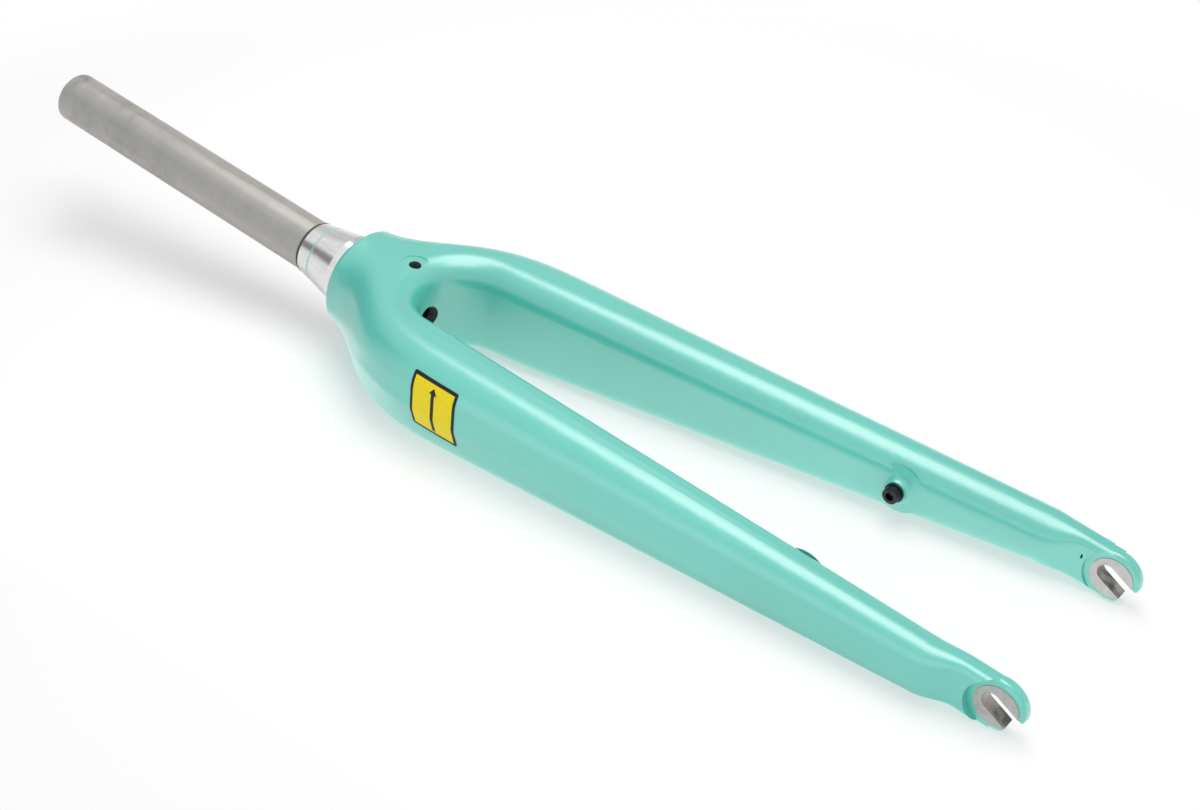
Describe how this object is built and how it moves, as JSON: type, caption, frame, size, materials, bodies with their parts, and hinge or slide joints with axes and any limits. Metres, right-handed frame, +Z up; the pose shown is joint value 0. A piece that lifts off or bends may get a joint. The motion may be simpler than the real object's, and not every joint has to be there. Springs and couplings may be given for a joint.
{
  "type": "bicycle fork",
  "caption": "Road bicycle front fork with a tapered bare steerer, a moulded crown flowing into painted blades, slotted fork ends and mudguard bolts.",
  "frame": {"origin": "centre of the bounding box on the surface that the fork lies on", "axes": "+X from the steerer's top towards the fork ends, +Z up with the front of the fork upwards, +Y to the bicycle's left"},
  "size_m": [0.6502, 0.1316, 0.0869],
  "materials": {
    "painted_shell": "gloss paint over a moulded composite",
    "painted_end": "gloss paint over a forged end, bare at the hub seats",
    "bare_tube": "satin, brushed along the tube",
    "machined_base": "machined bright",
    "adhesive": "cured adhesive",
    "black_steel": "black oxide, satin",
    "insert_metal": "plain"
  },
  "bodies": {
    "root": {"steerer_tube": "bare_tube", "bond_line": "adhesive", "steerer_base": "machined_base", "crown_and_legs": "painted_shell", "dropout_left": "painted_end", "insert_left": "insert_metal", "washer_left": "black_steel", "bolt_left": "black_steel", "dropout_right": "painted_end", "insert_right": "insert_metal", "washer_right": "black_steel", "bolt_right": "black_steel"}
  },
  "joints": []
}
